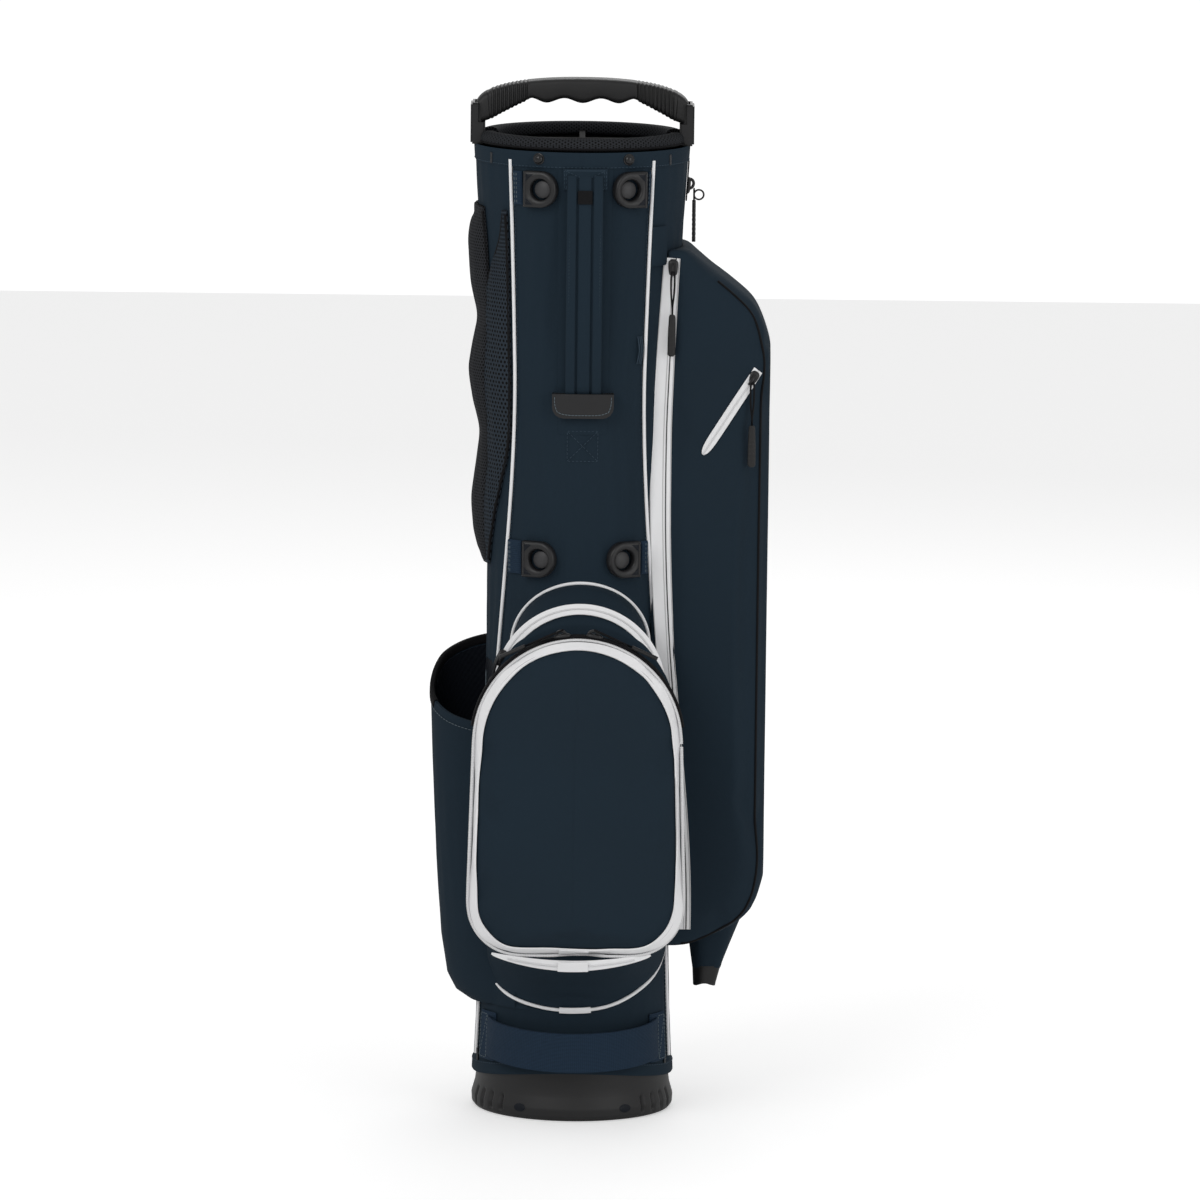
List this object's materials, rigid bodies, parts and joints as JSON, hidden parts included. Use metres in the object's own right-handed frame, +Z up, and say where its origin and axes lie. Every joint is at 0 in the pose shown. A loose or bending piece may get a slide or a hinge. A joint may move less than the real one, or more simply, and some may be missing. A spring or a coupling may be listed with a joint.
{
  "type": "golf stand bag",
  "caption": "Slim upright golf bag with folding legs, garment pocket, ball pocket, drinks pouch, carrying handles and zips that slide.",
  "frame": {"origin": "centre of the flat sole of the base, on the ground", "axes": "+Z up along the bag; -Y is the spine side with the ball pocket, +Y the side of the folded legs, +X the garment pocket"},
  "size_m": [0.2893, 0.2747, 0.9],
  "materials": {
    "navy_fabric": "matte",
    "navy_webbing": "matte",
    "black_mesh": "matte",
    "black_plastic": "satin",
    "black_rubber": "matte",
    "black_leather": "satin",
    "white_tape": "satin",
    "dark_tube": "satin",
    "steel": "satin"
  },
  "bodies": {
    "bag": {"ball_pocket": "navy_fabric", "ball_zip_tape": "white_tape", "base_cup": "black_plastic", "collar_cuff": "black_mesh", "diagonal_zip_tape": "white_tape", "drinks_pouch": "navy_fabric", "foot_pin": "steel", "garment_pocket": "navy_fabric", "leg_bracket": "black_plastic", "leg_pin_left": "steel", "leg_pin_right": "steel", "lift_handle": "navy_webbing", "piping_left": "white_tape", "piping_right": "white_tape", "ring_tab_lower_left": "navy_webbing", "ring_tab_lower_right": "navy_webbing", "ring_tab_upper_left": "navy_webbing", "ring_tab_upper_right": "navy_webbing", "shoulder_pad_lower": "black_mesh", "shoulder_pad_upper": "black_mesh", "side_zip_tape": "white_tape", "snap_left": "black_plastic", "snap_right": "black_plastic", "spine_handle": "navy_webbing", "spine_handle_anchor": "black_leather", "stay_left": "dark_tube", "stay_right": "dark_tube", "top_collar": "black_plastic", "top_divider": "black_mesh", "top_handle": "black_rubber", "trunk_back": "navy_fabric", "trunk_front": "navy_fabric", "trunk_left": "navy_fabric", "trunk_right": "navy_fabric", "umbrella_sleeve": "navy_fabric", "umbrella_sleeve_toe": "black_rubber", "valuables_pocket": "navy_fabric"},
    "foot": {"foot_plate": "black_rubber"},
    "leg_left": {"leg_left": "dark_tube", "leg_knuckle_left": "black_plastic", "leg_foot_left": "black_rubber"},
    "rod_left": {"rod_left": "steel"},
    "leg_right": {"leg_right": "dark_tube", "leg_knuckle_right": "black_plastic", "leg_foot_right": "black_rubber"},
    "rod_right": {"rod_right": "steel"},
    "strap_ring_upper_left": {"strap_ring_upper_left": "black_plastic"},
    "strap_ring_upper_right": {"strap_ring_upper_right": "black_plastic"},
    "strap_ring_lower_left": {"strap_ring_lower_left": "black_plastic"},
    "strap_ring_lower_right": {"strap_ring_lower_right": "black_plastic"},
    "side_zip_slider": {"side_zip_slider": "black_plastic"},
    "side_zip_pull": {"side_zip_pull": "black_rubber"},
    "diagonal_zip_slider": {"diagonal_zip_slider": "black_plastic"},
    "diagonal_zip_pull": {"diagonal_zip_pull": "black_rubber"},
    "upper_zip_slider": {"upper_zip_slider": "black_plastic"},
    "upper_zip_pull": {"upper_zip_pull": "black_rubber"},
    "ball_slider_left": {"ball_slider_left": "black_plastic"},
    "ball_pull_left": {"ball_pull_left": "black_rubber"},
    "ball_slider_right": {"ball_slider_right": "black_plastic"},
    "ball_pull_right": {"ball_pull_right": "black_rubber"}
  },
  "joints": [
    {"name": "foot_hinge", "type": "hinge", "parent": "bag", "child": "foot", "pos_m": [0, 0.03, 0.0085], "axis": [1, 0, 0], "range_deg": [0, 25], "stiffness_Nm_per_rad": 0.3, "springref_deg": -17.19},
    {"name": "leg_left_hinge", "type": "hinge", "parent": "bag", "child": "leg_left", "pos_m": [-0.045, 0.1, 0.822], "axis": [0.788, 0.6157, 0], "range_deg": [0, 27]},
    {"name": "rod_left_hinge", "type": "hinge", "parent": "foot", "child": "rod_left", "pos_m": [-0.022, 0.096, 0.0105], "axis": [-0.9878, -0.1551, -0.0159], "range_deg": [0, 31.72]},
    {"name": "leg_right_hinge", "type": "hinge", "parent": "bag", "child": "leg_right", "pos_m": [0.045, 0.1, 0.822], "axis": [0.788, -0.6157, 0], "range_deg": [0, 27]},
    {"name": "rod_right_hinge", "type": "hinge", "parent": "foot", "child": "rod_right", "pos_m": [0.022, 0.096, 0.0105], "axis": [-0.9878, 0.1551, 0.0159], "range_deg": [0, 31.72]},
    {"name": "strap_ring_upper_left_hinge", "type": "hinge", "parent": "bag", "child": "strap_ring_upper_left", "pos_m": [-0.0501, -0.07714, 0.8115], "axis": [0, 0, -1], "range_deg": [0, 70]},
    {"name": "strap_ring_upper_right_hinge", "type": "hinge", "parent": "bag", "child": "strap_ring_upper_right", "pos_m": [0.05597, -0.07347, 0.8115], "axis": [0, 0, 1], "range_deg": [0, 70]},
    {"name": "strap_ring_lower_left_hinge", "type": "hinge", "parent": "bag", "child": "strap_ring_lower_left", "pos_m": [-0.04806, -0.06596, 0.4908], "axis": [0, 0, -1], "range_deg": [0, 70]},
    {"name": "strap_ring_lower_right_hinge", "type": "hinge", "parent": "bag", "child": "strap_ring_lower_right", "pos_m": [0.05386, -0.06186, 0.4908], "axis": [0, 0, 1], "range_deg": [0, 70]},
    {"name": "side_zip_slide", "type": "slide", "parent": "bag", "child": "side_zip_slider", "axis": [-0.01, 0, -0.9999], "range_m": [0, 0.27]},
    {"name": "side_zip_pull_hinge", "type": "hinge", "parent": "side_zip_slider", "child": "side_zip_pull", "pos_m": [0.07907, -0.056, 0.738], "axis": [-0.9999, 0, 0.01], "range_deg": [0, 110]},
    {"name": "diagonal_zip_slide", "type": "slide", "parent": "bag", "child": "diagonal_zip_slider", "axis": [-0.5372, 0, -0.8434], "range_m": [0, 0.069]},
    {"name": "diagonal_zip_pull_hinge", "type": "hinge", "parent": "diagonal_zip_slider", "child": "diagonal_zip_pull", "pos_m": [0.14843, -0.056, 0.64283], "axis": [-1, 0, 0], "range_deg": [0, 110]},
    {"name": "upper_zip_slide", "type": "slide", "parent": "bag", "child": "upper_zip_slider", "axis": [0.0772, 0, 0.997], "range_m": [0, 0.02]},
    {"name": "upper_zip_pull_hinge", "type": "hinge", "parent": "upper_zip_slider", "child": "upper_zip_pull", "pos_m": [0.09685, 0, 0.804], "axis": [0, -1, 0], "range_deg": [0, 110]},
    {"name": "ball_slider_left_run", "type": "hinge", "parent": "bag", "child": "ball_slider_left", "pos_m": [0.0015, -0.158, 0.345], "axis": [0, -1, 0], "range_deg": [0, 55]},
    {"name": "ball_pull_left_hinge", "type": "hinge", "parent": "ball_slider_left", "child": "ball_pull_left", "pos_m": [-0.01295, -0.146, 0.441], "axis": [0, 1, 0], "range_deg": [0, 100]},
    {"name": "ball_slider_right_run", "type": "hinge", "parent": "bag", "child": "ball_slider_right", "pos_m": [0.0015, -0.158, 0.345], "axis": [0, 1, 0], "range_deg": [0, 55]},
    {"name": "ball_pull_right_hinge", "type": "hinge", "parent": "ball_slider_right", "child": "ball_pull_right", "pos_m": [0.01595, -0.146, 0.441], "axis": [0, -1, 0], "range_deg": [0, 100]}
  ],
  "couplings": [
    {"joint": "leg_left_hinge", "follows": "foot_hinge", "ratio": 1.079},
    {"joint": "rod_left_hinge", "follows": "foot_hinge", "ratio": 1.2682},
    {"joint": "leg_right_hinge", "follows": "foot_hinge", "ratio": 1.079},
    {"joint": "rod_right_hinge", "follows": "foot_hinge", "ratio": 1.2682}
  ]
}
